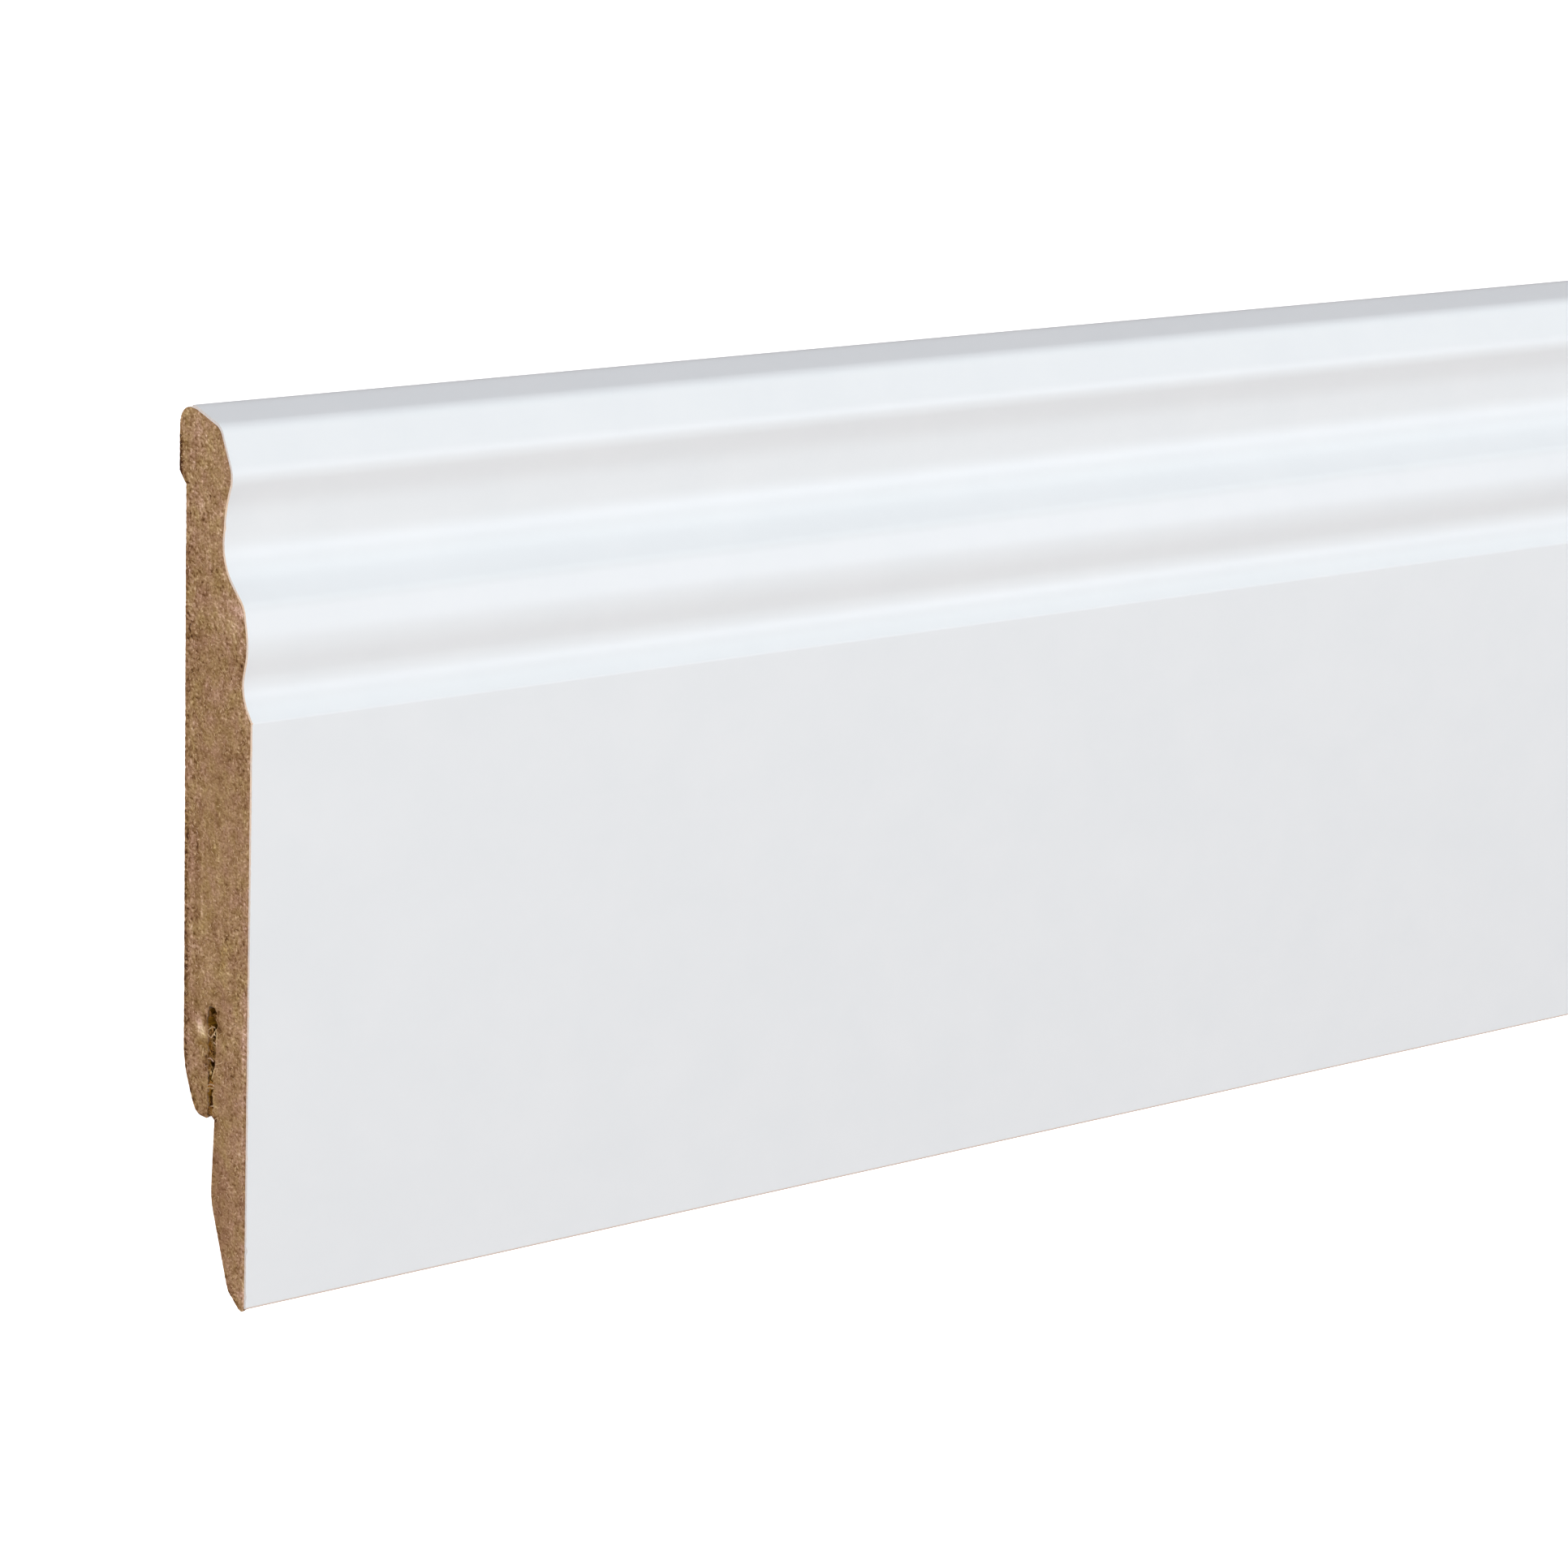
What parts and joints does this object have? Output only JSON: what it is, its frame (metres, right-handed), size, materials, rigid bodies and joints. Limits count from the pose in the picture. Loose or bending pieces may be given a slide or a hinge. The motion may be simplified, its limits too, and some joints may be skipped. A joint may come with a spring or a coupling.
{
  "type": "skirting board length",
  "caption": "Straight length of white moulded skirting board: ogee front, flat face, contact strip and relieved back, clip lip with saw kerf, tapered foot.",
  "frame": {"origin": "under the middle of the board, on the wall plane that its back leans on, which is the floor it lies on here", "axes": "+X along the length, +Y across the face towards the moulded top edge, +Z out of the white front face; the board lies on its back"},
  "size_m": [2.4, 0.118, 0.018],
  "materials": {
    "mdf": "sawn and milled medium-density fibreboard, bare and dull",
    "white_covering": "smooth satin white wrapping foil"
  },
  "bodies": {
    "root": {"mdf_core": "mdf", "white_foil": "white_covering"}
  },
  "joints": []
}
